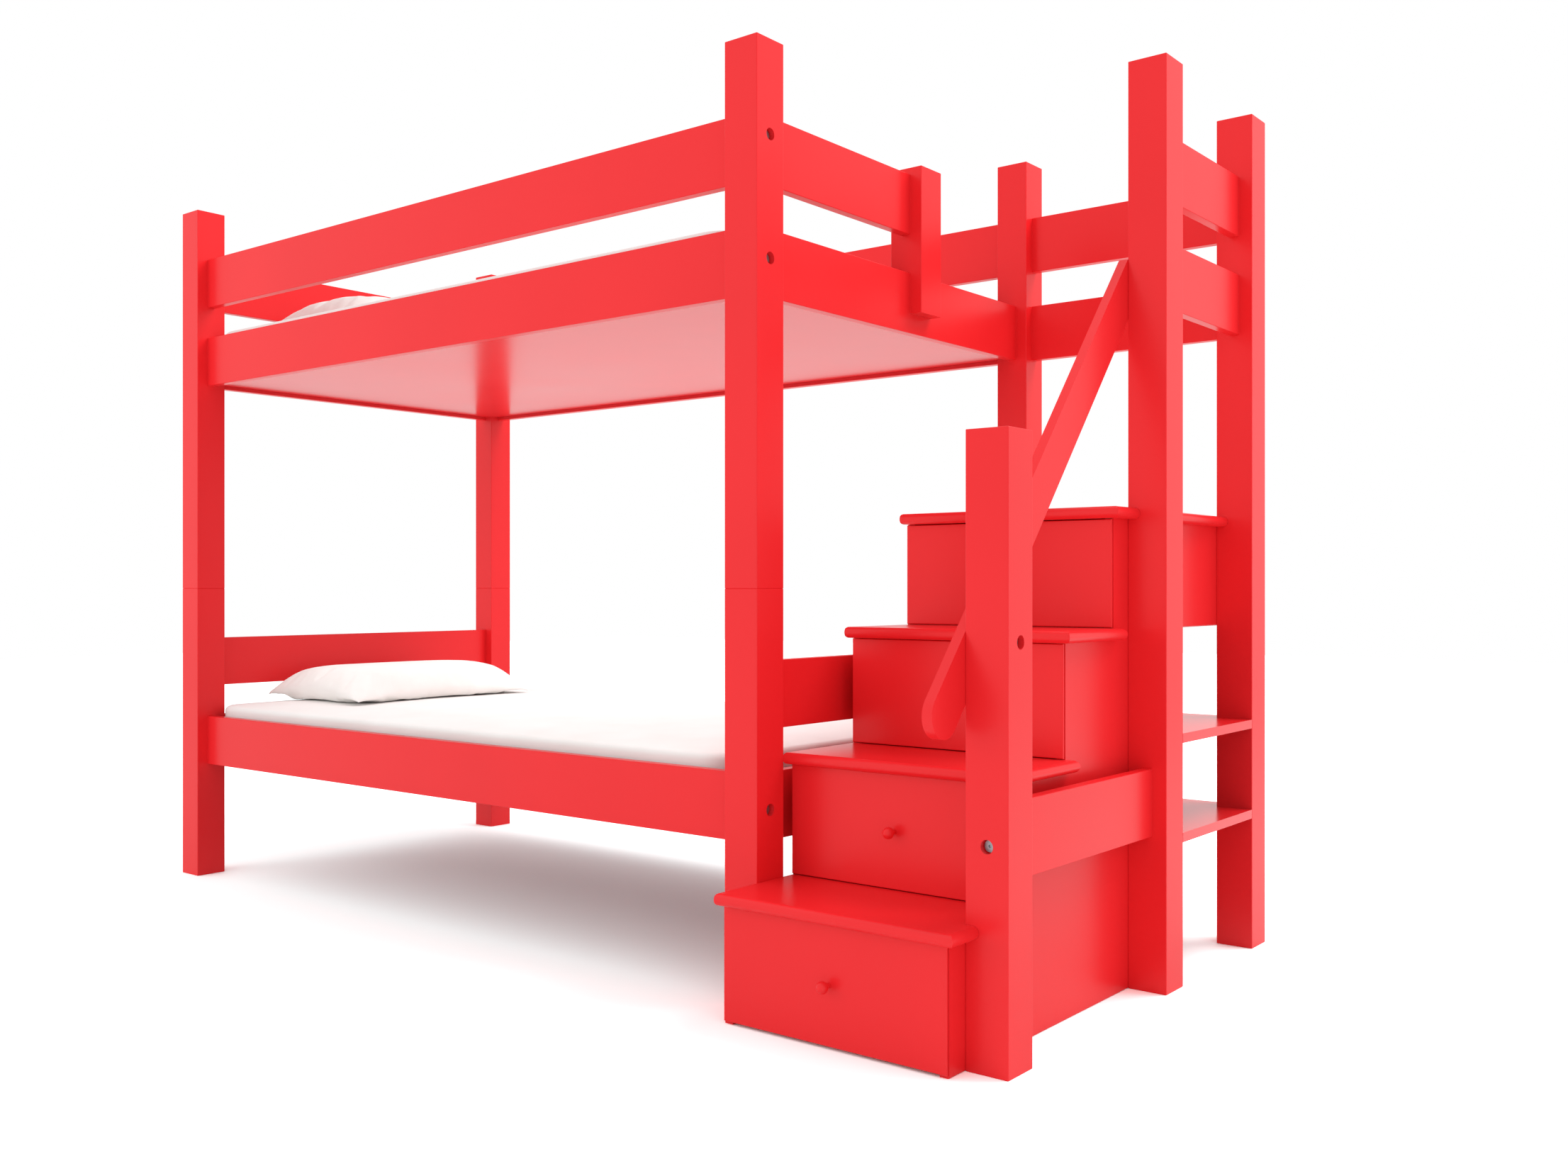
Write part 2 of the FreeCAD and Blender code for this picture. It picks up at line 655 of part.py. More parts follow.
def drawer_box(step):
    """Two grooved sides, a back and a bottom, as separate boards behind the front."""
    y0 = front_line[step] + drawer_front_thickness
    y1 = y0 + drawer_depth
    x0 = inner_panel_right + drawer_inset_gap
    x1 = outer_panel_left - drawer_inset_gap
    z0 = step_base[step] + drawer_box_lift
    z1 = z0 + drawer_side_height
    groove_low = z0 + runner_rise - runner_play
    groove_high = z0 + runner_rise + runner_height + runner_top_gap
    boards = []
    for left, groove_left, groove_right in (
            (x0, x0 - cut_margin, x0 + groove_depth),
            (x1 - drawer_side_thickness, x1 - groove_depth, x1 + cut_margin)):
        board = block(left, left + drawer_side_thickness, y0, y1, z0, z1)
        board = board.cut(block(groove_left, groove_right, y0 - cut_margin, y1 + cut_margin,
                                groove_low, groove_high))
        boards.append(board)
    inside_left = x0 + drawer_side_thickness
    inside_right = x1 - drawer_side_thickness
    boards.append(block(inside_left, inside_right, y1 - thin_panel, y1, z0, z1))
    boards.append(block(inside_left, inside_right, y0, y1 - thin_panel,
                        z0, z0 + drawer_bottom_thickness))
    runner_low = z0 + runner_rise
    runner_back = y0 + drawer_depth
    for left, right in ((inner_panel_right, inner_panel_right + runner_depth),
                        (outer_panel_left - runner_depth, outer_panel_left)):
        runners.append(block(left, right, runner_back - runner_length, runner_back,
                             runner_low, runner_low + runner_height))
    return boards


for step in range(step_count):
    number = str(step + 1)
    floor_gap = first_drawer_floor_gap if step == 0 else drawer_lip_floor_gap
    front, knob_height = drawer_front(step, floor_gap)
    keep("drawer_" + number + "_front", front)
    keep("drawer_" + number + "_knob", knob(step, knob_height))
    keep("drawer_" + number + "_box", drawer_box(step))
keep("drawer_runners", runners)


# ---- Mattresses and pillows ---------------------------------------------------------------------

def rounded_rectangle(x0, x1, y0, y1, radius, z):
    """A level outline of four lines and four quarter circles."""
    c = radius * (1.0 - math.sqrt(0.5))
    edges = [
        Part.makeLine(Vector(x0 + radius, y0, z), Vector(x1 - radius, y0, z)),
        Part.Arc(Vector(x1 - radius, y0, z), Vector(x1 - c, y0 + c, z), Vector(x1, y0 + radius, z)).toShape(),
        Part.makeLine(Vector(x1, y0 + radius, z), Vector(x1, y1 - radius, z)),
        Part.Arc(Vector(x1, y1 - radius, z), Vector(x1 - c, y1 - c, z), Vector(x1 - radius, y1, z)).toShape(),
        Part.makeLine(Vector(x1 - radius, y1, z), Vector(x0 + radius, y1, z)),
        Part.Arc(Vector(x0 + radius, y1, z), Vector(x0 + c, y1 - c, z), Vector(x0, y1 - radius, z)).toShape(),
        Part.makeLine(Vector(x0, y1 - radius, z), Vector(x0, y0 + radius, z)),
        Part.Arc(Vector(x0, y0 + radius, z), Vector(x0 + c, y0 + c, z), Vector(x0 + radius, y0, z)).toShape(),
    ]
    return Part.Wire(edges)


def mattress(bottom):
    """A block with rounded corners and soft edges, and a low crown in rings that rise on a parabola."""
    x0 = rail_depth + head_gap
    x1 = x0 + mattress_length
    y0 = rail_depth + side_gap
    y1 = y0 + mattress_width
    top = bottom + mattress_edge_height
    base = Part.Face(rounded_rectangle(x0, x1, y0, y1, mattress_corner_radius, bottom))
    body = base.extrude(Vector(0, 0, mattress_edge_height))
    body = body.makeFillet(mattress_edge_radius, edges_at_height(body, bottom) + edges_at_height(body, top))
    rings = []
    for ring in range(mattress_crown_rings):
        share = ring / (mattress_crown_rings - 1.0)
        inset = mattress_edge_radius + share * (mattress_crown_inset - mattress_edge_radius)
        height = top + mattress_crown * (1.0 - (1.0 - share) ** 2)
        radius = mattress_corner_radius - mattress_edge_radius
        rings.append(rounded_rectangle(x0 + inset, x1 - inset, y0 + inset, y1 - inset, radius, height))
    crown = Part.makeLoft(rings, True, True)
    return body.fuse(crown).removeSplitter()


def pillow(mattress_shape, mattress_top):
    """A lens-shaped loft across the bed: pulled-in sides, low corners, and an underside that lies on
    the mattress's crown."""
    x_middle = rail_depth + head_gap + pillow_head_gap + pillow_width / 2.0
    y0 = rail_depth + side_gap + pillow_front_gap
    sections = []
    for index in range(pillow_sections):
        share = index / (pillow_sections - 1.0)
        swell = math.sin(math.pi * share) ** pillow_swell_power if 0.0 < share < 1.0 else 0.0
        half_width = pillow_width / 2.0 - pillow_side_draw * math.sin(math.pi * share)
        seam = mattress_top + pillow_seam_low + (pillow_seam_high - pillow_seam_low) * swell
        top = mattress_top + pillow_end_height + (pillow_height - pillow_end_height) * swell
        low = mattress_top + pillow_end_low - (pillow_sink + pillow_end_low) * swell
        y = y0 + pillow_length * share
        left = Vector(x_middle - half_width, y, seam)
        right = Vector(x_middle + half_width, y, seam)
        sections.append(Part.Wire([
            Part.Arc(left, Vector(x_middle, y, top), right).toShape(),
            Part.Arc(right, Vector(x_middle, y, low), left).toShape()]))
    form = Part.makeLoft(sections, True, False)
    bed = mattress_shape.copy()
    bed.translate(Vector(0, 0, soft_gap))
    return form.cut(bed)


for level, bottom in (("upper", upper_board_bottom), ("lower", lower_board_bottom)):
    mattress_bottom = bottom + bunk_board_thickness
    shape = mattress(mattress_bottom)
    keep(level + "_mattress", shape)
    keep(level + "_pillow", pillow(shape, mattress_bottom + mattress_edge_height + mattress_crown))


# ---- Write one STEP file for each node ----------------------------------------------------------

os.makedirs("parts", exist_ok=True)
for name, shapes in nodes.items():
    placed = []
    for shape in shapes:
        moved = shape.copy()
        moved.translate(-origin)
        placed.append(moved)
    result = placed[0] if len(placed) == 1 else Part.makeCompound(placed)
    result.exportStep(os.path.join("parts", name + ".step"))
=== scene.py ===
import math

import bmesh
import bpy
import numpy as np
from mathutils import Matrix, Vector


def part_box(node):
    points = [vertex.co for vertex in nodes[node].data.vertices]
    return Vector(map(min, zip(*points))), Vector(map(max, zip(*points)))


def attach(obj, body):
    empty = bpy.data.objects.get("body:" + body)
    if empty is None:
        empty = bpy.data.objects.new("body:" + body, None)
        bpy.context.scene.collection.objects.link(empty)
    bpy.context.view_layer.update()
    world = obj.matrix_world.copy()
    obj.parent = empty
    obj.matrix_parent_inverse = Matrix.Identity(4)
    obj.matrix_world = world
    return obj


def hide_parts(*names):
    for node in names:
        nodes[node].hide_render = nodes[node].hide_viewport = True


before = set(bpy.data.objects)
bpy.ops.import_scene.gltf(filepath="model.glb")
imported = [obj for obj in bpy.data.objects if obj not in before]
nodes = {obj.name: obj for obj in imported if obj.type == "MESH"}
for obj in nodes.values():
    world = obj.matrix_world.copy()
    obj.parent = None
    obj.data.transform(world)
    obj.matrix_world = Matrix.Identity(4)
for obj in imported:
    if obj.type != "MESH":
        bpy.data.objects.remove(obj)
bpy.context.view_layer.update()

# Lengths are in metres along the frame's own axes; the camera's sensor alone is in millimetres.

# ---- Camera --------------------------------------------------------------------------------------
# The bed is seen level, from a little under the middle of its height, standing off beyond the foot
# of the stairs. The place and the lens come from the photograph's straight edges.

image_width = 2212
sensor_width = 36.0
focal_pixels = 1998.9
camera_place = (2.4471, -2.5198, 0.7903)
camera_heading = math.radians(38.56)

camera_data = bpy.data.cameras.new("camera")
camera_data.sensor_width = sensor_width
camera_data.lens = sensor_width * focal_pixels / image_width
camera = bpy.data.objects.new("camera", camera_data)
camera.location = camera_place
camera.rotation_euler = (math.pi / 2.0, 0.0, camera_heading)
bpy.context.scene.collection.objects.link(camera)
bpy.context.scene.camera = camera
bpy.context.scene.view_settings.view_transform = "Standard"


# ---- Red boards: posts, rails, handrail, treads, panels, drawer fronts and knobs -----------------
# Birch and pine boards, sanded, primed and sprayed with a satin red lacquer before assembly. The
# coat is thick enough to hide the colour of the wood: what is left is a fine pebbled skin, a trace
# of the grain underneath it, and soft reflections that turn strong only at a glancing angle.

red_lacquer = "#F92A2F"
red_lacquer_thin = "#EF252A"
board_cast = "#E8484B"
lacquer_ior = 1.45
board_specular = 0.33
board_roughness = (0.26, 0.34)
pebble_size = 0.0022
pebble_height = 0.00002
grain_width = 0.006
grain_stretch = 14.0
grain_height = 0.00003
grain_octaves = 4.0
grain_break = 0.6
cloud_size = 0.35
soft_octaves = 2.0


def linear(hex_colour):
    """An sRGB hex colour as linear red, green, blue and alpha, by the standard's own curve."""
    values = [int(hex_colour[start:start + 2], 16) / 255.0 for start in (1, 3, 5)]
    return [v / 12.92 if v <= 0.04045 else ((v + 0.055) / 1.055) ** 2.4 for v in values] + [1.0]


def add_node(tree, kind, settings=None, **links):
    """Add one node: settings are attributes or numbered and named inputs, links are other outputs."""
    node = tree.nodes.new(kind)
    for key, value in (settings or {}).items():
        if isinstance(key, str) and hasattr(node, key):
            setattr(node, key, value)
        else:
            node.inputs[key].default_value = value
    for key, output in links.items():
        socket = node.inputs[int(key[1:])] if key[1:].isdigit() else node.inputs[key.replace("_", " ")]
        tree.links.new(output, socket)
    return node


def new_material(name):
    """A material with an empty tree."""
    material = bpy.data.materials.new(name)
    material.use_nodes = True
    tree = material.node_tree
    tree.nodes.clear()
    return material, tree


def sprayed_lacquer(name, grain_axis, specular, roughness, cast):
    """Satin red lacquer over a board whose grain runs along the axis 0, 1 or 2. The cast is the colour
    that diffuse rays find, so the red that a board throws on its neighbours is weaker than its own."""
    material, tree = new_material(name)
    place = add_node(tree, "ShaderNodeTexCoord").outputs["Object"]
    squeeze = [1.0, 1.0, 1.0]
    squeeze[grain_axis] = 1.0 / grain_stretch
    along = add_node(tree, "ShaderNodeMapping", {"Scale": squeeze}, Vector=place)
    grain = add_node(tree, "ShaderNodeTexNoise", {"Scale": 1.0 / grain_width, "Detail": grain_octaves,
                                                  "Roughness": grain_break},
                     Vector=along.outputs["Vector"])
    pebble = add_node(tree, "ShaderNodeTexNoise", {"Scale": 1.0 / pebble_size, "Detail": soft_octaves},
                      Vector=place)
    cloud = add_node(tree, "ShaderNodeTexNoise", {"Scale": 1.0 / cloud_size, "Detail": soft_octaves},
                     Vector=place)
    tone = add_node(tree, "ShaderNodeMix", {"data_type": "RGBA", 6: linear(red_lacquer_thin),
                                            7: linear(red_lacquer)},
                    _0=cloud.outputs["Fac"])
    rays = add_node(tree, "ShaderNodeLightPath")
    tone = add_node(tree, "ShaderNodeMix", {"data_type": "RGBA", 7: linear(cast)},
                    _0=rays.outputs["Is Diffuse Ray"], _6=tone.outputs[2])
    gloss = add_node(tree, "ShaderNodeMapRange", {"To Min": roughness[0], "To Max": roughness[1]},
                     Value=cloud.outputs["Fac"])
    grain_bump = add_node(tree, "ShaderNodeBump", {"Distance": grain_height},
                          Height=grain.outputs["Fac"])
    pebble_bump = add_node(tree, "ShaderNodeBump", {"Distance": pebble_height},
                           Height=pebble.outputs["Fac"], Normal=grain_bump.outputs["Normal"])
    shader = add_node(tree, "ShaderNodeBsdfPrincipled",
                      {"IOR": lacquer_ior, "Specular IOR Level": specular},
                      Base_Color=tone.outputs[2], Roughness=gloss.outputs["Result"],
                      Normal=pebble_bump.outputs["Normal"])
    add_node(tree, "ShaderNodeOutputMaterial", Surface=shader.outputs["BSDF"])
    return material


def give(material, *names):
    """Put a material on CAD nodes."""
    for name in names:
        slots = nodes[name].data.materials
        slots.clear()
        slots.append(material)


board_lacquers = [sprayed_lacquer("satin_lacquer_on_board_" + axis, index, board_specular,
                                  board_roughness, board_cast)
                  for index, axis in enumerate("xyz")]
lacquered_starts = ("post_front", "post_back", "tower_", "newel_", "gate_", "lower_bed_rail",
                    "upper_bed_rail", "guard_", "lower_end", "handrail", "stair_", "tread", "drawer_",
                    "shelf_cleats")
for name in nodes:
    if name.startswith(lacquered_starts) and not name.endswith(("_box", "_runners")):
        low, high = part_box(name)
        size = high - low
        give(board_lacquers[max(range(3), key=lambda axis: size[axis])], name)


# ---- Bunk boards and open shelves ----------------------------------------------------------------
# Sheets of plywood, sprayed flat on a rack with the same red lacquer. The coat flows out harder and
# glossier than on the boards, so seen along the sheet it turns pale with the white of the room, and
# its orange peel shows as a fine speckle.

sheet_specular = 0.78
sheet_roughness = (0.20, 0.27)
sheet_cast = "#8C5052"

give(sprayed_lacquer("satin_lacquer_on_plywood", 0, sheet_specular, sheet_roughness, sheet_cast),
     "upper_bunk_board", "lower_bunk_board", "shelves")


# ---- Connector bolts and barrel nuts -------------------------------------------------------------
# Turned steel with a dull zinc plating. Only the flat heads show, at the bottom of their
# counterbores: grey and a little clouded, with fine tool marks and a darker socket for the key.

zinc_light = "#B9BCC0"
zinc_dark = "#8F9499"
zinc_roughness = (0.36, 0.5)
fog_size = 0.004
fog_octaves = 3.0
tool_mark_size = 0.0009  # several times the real marks, which are too fine to show
tool_mark_height = 0.00002
single_octave = 1.0

zinc, tree = new_material("zinc_plated_steel_turned")
place = add_node(tree, "ShaderNodeTexCoord").outputs["Object"]
fog = add_node(tree, "ShaderNodeTexNoise", {"Scale": 1.0 / fog_size, "Detail": fog_octaves}, Vector=place)
tone = add_node(tree, "ShaderNodeMix", {"data_type": "RGBA", 6: linear(zinc_dark), 7: linear(zinc_light)},
                _0=fog.outputs["Fac"])
gloss = add_node(tree, "ShaderNodeMapRange", {"To Min": zinc_roughness[0], "To Max": zinc_roughness[1]},
                 Value=fog.outputs["Fac"])
turned = add_node(tree, "ShaderNodeTexNoise", {"Scale": 1.0 / tool_mark_size, "Detail": single_octave},
                  Vector=place)
turned_bump = add_node(tree, "ShaderNodeBump", {"Distance": tool_mark_height},
                       Height=turned.outputs["Fac"])
shader = add_node(tree, "ShaderNodeBsdfPrincipled", {"Metallic": 1.0}, Base_Color=tone.outputs[2],
                  Roughness=gloss.outputs["Result"], Normal=turned_bump.outputs["Normal"])
add_node(tree, "ShaderNodeOutputMaterial", Surface=shader.outputs["BSDF"])
give(zinc, "frame_bolts")


# ---- Bare wood: locating dowels and drawer runners -----------------------------------------------
# Unfinished beech, planed for the runners and turned for the dowels. Pinkish tan, with short brown
# flecks along the grain and no shine.

beech_light = "#D8B48C"
beech_dark = "#C2966B"
beech_fleck = "#9C6F48"
bare_grain_width = 0.0035
bare_grain_octaves = 5.0
bare_grain_break = 0.62
bare_grain_height = 0.0001
fleck_width = 0.0011
fleck_stretch = 9.0
fleck_from, fleck_full = 0.62, 0.72
fleck_strength = 0.5
bare_roughness = 0.62
bare_specular = 0.35


def bare_wood(name, light, dark, fleck, grain_axis):
    """Unfinished close-grained wood, with bands and short flecks along its grain."""
    material, tree = new_material(name)
    place = add_node(tree, "ShaderNodeTexCoord").outputs["Object"]
    squeeze = [1.0, 1.0, 1.0]
    squeeze[grain_axis] = 1.0 / grain_stretch
    along = add_node(tree, "ShaderNodeMapping", {"Scale": squeeze}, Vector=place)
    bands = add_node(tree, "ShaderNodeTexNoise",
                     {"Scale": 1.0 / bare_grain_width, "Detail": bare_grain_octaves,
                      "Roughness": bare_grain_break},
                     Vector=along.outputs["Vector"])
    squeeze[grain_axis] = 1.0 / fleck_stretch
    along = add_node(tree, "ShaderNodeMapping", {"Scale": squeeze}, Vector=place)
    flecks = add_node(tree, "ShaderNodeTexNoise", {"Scale": 1.0 / fleck_width, "Detail": single_octave},
                      Vector=along.outputs["Vector"])
    fleck_share = add_node(tree, "ShaderNodeMapRange",
                           {"From Min": fleck_from, "From Max": fleck_full, "To Max": fleck_strength},
                           Value=flecks.outputs["Fac"])
    tone = add_node(tree, "ShaderNodeMix", {"data_type": "RGBA", 6: linear(dark), 7: linear(light)},
                    _0=bands.outputs["Fac"])
    tone = add_node(tree, "ShaderNodeMix", {"data_type": "RGBA", 7: linear(fleck)},
                    _0=fleck_share.outputs["Result"], _6=tone.outputs[2])
    bump = add_node(tree, "ShaderNodeBump", {"Distance": bare_grain_height}, Height=bands.outputs["Fac"])
    shader = add_node(tree, "ShaderNodeBsdfPrincipled",
                      {"Roughness": bare_roughness, "Specular IOR Level": bare_specular},
                      Base_Color=tone.outputs[2], Normal=bump.outputs["Normal"])
    add_node(tree, "ShaderNodeOutputMaterial", Surface=shader.outputs["BSDF"])
    return material


give(bare_wood("planed_beech_y", beech_light, beech_dark, beech_fleck, 1), "drawer_runners")
give(bare_wood("turned_beech_z", beech_light, beech_dark, beech_fleck, 2), "post_dowels")


# ---- Drawer boxes --------------------------------------------------------------------------------
# Birch plywood sides, backs and bottoms, sanded and left clear. Paler than the beech, with a wide
# soft figure that runs from the front to the back.

birch_light = "#E6CFA6"
birch_dark = "#D6B787"
birch_fleck = "#B98F5F"

give(bare_wood("sanded_birch_plywood", birch_light, birch_dark, birch_fleck, 1),
     *[name for name in nodes if name.startswith("drawer_") and name.endswith("_box")])


# ---- Mattresses ----------------------------------------------------------------------------------
# A firm foam block in a fitted cover of white brushed knit. The cover is pulled tight, so the edges
# are evenly round and the top rises in a low crown. Its side band is sewn on near the bottom, where
# the stitching draws a shallow groove.

mattress_corner = 0.088
mattress_edge = 0.015
mattress_crown = 0.013
crown_reach = 0.31
flat_rings = 6
crown_rings = 12
turn_rings = 9
side_rings = 8
groove_rings = 11
bottom_rings = 8
corner_points = 14
side_points = (64, 34)
join_distance = 1e-6
band_seam_lift = 0.005
band_seam_depth = 0.0016
band_seam_width = 0.0016
cover_ripple = 0.0007
ripple_waves = ((9.0, 4.0, 0.0), (-3.0, 13.0, 1.0))
cover_white = "#F3F2F0"
cover_shade = "#E8E6E3"
knit_pitch = 0.0034  # about three real stitches, which are too fine to show
knit_height = 0.00004
knit_roughness = 0.85
knit_sheen = 0.15
cloth_cloud_size = 0.12
cloth_octaves = 3.0
thread_waver = 0.6
fuzz_size = 0.0016
cloth_specular = 0.2
sheen_roughness = 0.6


def closed_surface(name, points):
    """A mesh from an array of rows by columns by xyz. The columns close round, and points that fall
    together in the end rows are joined."""
    rows, columns = points.shape[:2]
    index = np.arange(rows * columns).reshape(rows, columns)
    here, there = index[:-1], index[1:]
    quads = np.stack([here, there, np.roll(there, -1, 1), np.roll(here, -1, 1)], -1).reshape(-1, 4)
    mesh = bpy.data.meshes.new(name)
    mesh.from_pydata(points.reshape(-1, 3), [], quads)
    form = bmesh.new()
    form.from_mesh(mesh)
    bmesh.ops.remove_doubles(form, verts=form.verts, dist=join_distance)
    form.to_mesh(mesh)
    form.free()
    mesh.polygons.foreach_set("use_smooth", np.ones(len(mesh.polygons), bool))
    piece = bpy.data.objects.new(name, mesh)
    bpy.context.scene.collection.objects.link(piece)
    return piece


def rounded_rectangles(half_x, half_y, radius):
    """Plan outlines, one for each ring, anticlockwise: a quarter circle about each corner's centre,
    then the straight side to the next quarter. The sizes are columns, so the answer is rings by points."""
    x, y = [], []
    corners = ((1, 1), (-1, 1), (-1, -1), (1, -1))
    for quarter, (sx, sy) in enumerate(corners):
        angle = (quarter + np.linspace(0.0, 1.0, corner_points, endpoint=False)) * math.pi / 2.0
        x.append(sx * (half_x - radius) + radius * np.cos(angle))
        y.append(sy * (half_y - radius) + radius * np.sin(angle))
        along = np.linspace(0.0, 1.0, side_points[quarter % 2], endpoint=False)
        turned = (quarter + 1) * math.pi / 2.0
        next_x, next_y = corners[(quarter + 1) % 4]
        x.append((sx + (next_x - sx) * along) * (half_x - radius) + radius * math.cos(turned))
        y.append((sy + (next_y - sy) * along) * (half_y - radius) + radius * math.sin(turned))
    return np.concatenate(x, 1), np.concatenate(y, 1)


def crown_height(inset):
    """How far the top stands over its edge: a parabola of the distance in from the side, then level."""
    share = np.clip((inset - mattress_edge) / crown_reach, 0.0, 1.0)
    return mattress_crown * (1.0 - (1.0 - share) ** 2)


def mattress_surface(low, high):
    """Rings of the plan outline, each inset and at a height: from the middle of the top out over the
    crown, a quarter circle over the edge, down the side past the seam's groove, a quarter circle in
    below, and level to the middle. The groove is a bell curve of the height, and the ripple on the top
    is the product of two slanting sines."""
    half_x, half_y = (high.x - low.x) / 2.0, (high.y - low.y) / 2.0
    turn = np.linspace(0.0, math.pi / 2.0, turn_rings)
    top = np.concatenate([np.linspace(half_y, mattress_edge + crown_reach, flat_rings),
                          np.linspace(mattress_edge + crown_reach, mattress_edge, crown_rings)[1:]])
    rim = high.z - mattress_crown - cover_ripple
    seam = low.z + mattress_edge + band_seam_lift
    side = np.concatenate([
        np.linspace(rim - mattress_edge, seam + 2.0 * band_seam_lift, side_rings)[1:],
        seam + band_seam_lift * np.linspace(1.0, -1.0, groove_rings)])
    groove = band_seam_depth * np.exp(-((side - seam) / band_seam_width) ** 2)
    bottom = np.linspace(mattress_edge, half_y, bottom_rings)[1:]
    inset = np.concatenate([top, mattress_edge * (1.0 - np.sin(turn[1:])), groove[:-1],
                            mattress_edge * (1.0 - np.sin(turn[::-1])), bottom])
    height = np.concatenate([rim + crown_height(top), rim - mattress_edge * (1.0 - np.cos(turn[1:])),
                             side[:-1], low.z + mattress_edge * (1.0 - np.cos(turn[::-1])),
                             np.full(len(bottom), low.z)])
    inset, height = inset[:, None], height[:, None]
    radius = np.maximum(mattress_corner - inset, 0.0)
    x, y = rounded_rectangles(half_x - inset, half_y - inset, radius)
    ripple = np.prod([np.sin(along * x + across * y + shift)
                      for along, across, shift in ripple_waves], 0)
    z = height + cover_ripple * (height > rim) * ripple
    return np.stack([x + (low.x + high.x) / 2.0, y + (low.y + high.y) / 2.0, z], -1)


def matt_cloth(name, light, shade, thread, height, roughness, sheen):
    """Matt white cloth: threads as two crossed waves on the cloth's own map, and a cloudy whiteness.
    A band wave repeats every pi / (10 Scale), which gives the scale for a thread's pitch."""
    material, tree = new_material(name)
    place = add_node(tree, "ShaderNodeTexCoord")
    cloud = add_node(tree, "ShaderNodeTexNoise", {"Scale": 1.0 / cloth_cloud_size, "Detail": cloth_octaves},
                     Vector=place.outputs["Object"])
    tone = add_node(tree, "ShaderNodeMix", {"data_type": "RGBA", 6: linear(shade), 7: linear(light)},
                    _0=cloud.outputs["Fac"])
    waves = []
    for direction in ("X", "Y"):
        wave = add_node(tree, "ShaderNodeTexWave",
                        {"wave_type": "BANDS", "bands_direction": direction, "wave_profile": "SIN",
                         "Scale": math.pi / (10.0 * thread), "Distortion": thread_waver,
                         "Detail": single_octave},
                        Vector=place.outputs["UV"])
        waves.append(wave.outputs["Fac"])
    weave = add_node(tree, "ShaderNodeMath", {"operation": "MULTIPLY"}, _0=waves[0], _1=waves[1])
    fuzz = add_node(tree, "ShaderNodeTexNoise", {"Scale": 1.0 / fuzz_size, "Detail": soft_octaves},
                    Vector=place.outputs["Object"])
    weave_bump = add_node(tree, "ShaderNodeBump", {"Distance": height}, Height=weave.outputs[0])
    fuzz_bump = add_node(tree, "ShaderNodeBump", {"Distance": height / 2.0}, Height=fuzz.outputs["Fac"],
                         Normal=weave_bump.outputs["Normal"])
    shader = add_node(tree, "ShaderNodeBsdfPrincipled",
                      {"Roughness": roughness, "Specular IOR Level": cloth_specular,
                       "Sheen Weight": sheen, "Sheen Roughness": sheen_roughness},
                      Base_Color=tone.outputs[2], Normal=fuzz_bump.outputs["Normal"])
    add_node(tree, "ShaderNodeOutputMaterial", Surface=shader.outputs["BSDF"])
    return material


def map_by_facing(piece):
    """Give the cloth a map in metres: each face is laid flat along the axis that it faces most."""
    mesh = piece.data
    corners = np.zeros(len(mesh.loops), int)
    mesh.loops.foreach_get("vertex_index", corners)
    points = np.zeros(len(mesh.vertices) * 3)
    mesh.vertices.foreach_get("co", points)
    points = points.reshape(-1, 3)[corners]
    normals = np.zeros(len(mesh.polygons) * 3)
    mesh.polygons.foreach_get("normal", normals)
    counts = np.zeros(len(mesh.polygons), int)
    mesh.polygons.foreach_get("loop_total", counts)
    facing = np.repeat(np.abs(normals.reshape(-1, 3)).argmax(1), counts)
    across = np.where(facing == 0, 1, 0)
    up = np.where(facing == 2, 1, 2)
    rows = np.arange(len(points))
    flat = np.stack([points[rows, across], points[rows, up]], -1)
    mesh.uv_layers.new(name="cloth").data.foreach_set("uv", flat.reshape(-1))


knit = matt_cloth("brushed_polyester_knit", cover_white, cover_shade, knit_pitch, knit_height,
                  knit_roughness, knit_sheen)
mattresses = {}
for level in ("lower", "upper"):
    low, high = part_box(level + "_mattress")
    piece = closed_surface(level + "_mattress_cover", mattress_surface(low, high))
    piece.data.materials.append(knit)
    map_by_facing(piece)
    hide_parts(level + "_mattress")
    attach(piece, "frame")
    mattresses[level] = piece


# ---- Pillows -------------------------------------------------------------------------------------
# A slack fibre pillow in a plain white cotton case: two sheets sewn together all round. The corners
# lie on the mattress, the seam arches up between them, and the cloth puckers a little beside it.

# The two sheets as they are sewn, before they are blown up.
pillow_points = (58, 78)
pillow_start_rise = 0.06
rise_power = 0.25
corner_flatness = 0.25
under_reach = 0.14
fade_power = 0.5
seam_low = 0.0025
seam_high_front = 0.026
seam_high_foot = 0.02
seam_line_power = 0.7
seam_fade_power = 4
seam_draw = 0.016
corner_pull = 0.014
corner_power = 12
rest_gap = 0.0006

# The cloth, the air in it and the solver. The crest is filled out afterwards.
case_slack = 0.015
case_mass = 0.2
case_pressure = 0.9
case_stiffness = {"tension_stiffness": 12.0, "compression_stiffness": 8.0, "shear_stiffness": 4.0,
                  "bending_stiffness": 0.6}
solver_steps = 6
solver_frames = 24
contact_gap = 0.001
pillow_move_cap = 0.014
crest_flatness = 1.0

cotton_white = "#F6F4F1"
cotton_shade = "#ECE9E5"
thread_pitch = 0.0016  # about five real threads, which are too fine to show
thread_height = 0.00012
percale_roughness = 0.8
percale_sheen = 0.1


def seam_line(share):
    """How far the seam has risen, from 0 at a corner to 1 in the middle of a side: a sine to a power
    under one, which flattens it."""
    return np.maximum(np.sin(math.pi * (share + 1.0) / 2.0), 0.0) ** seam_line_power


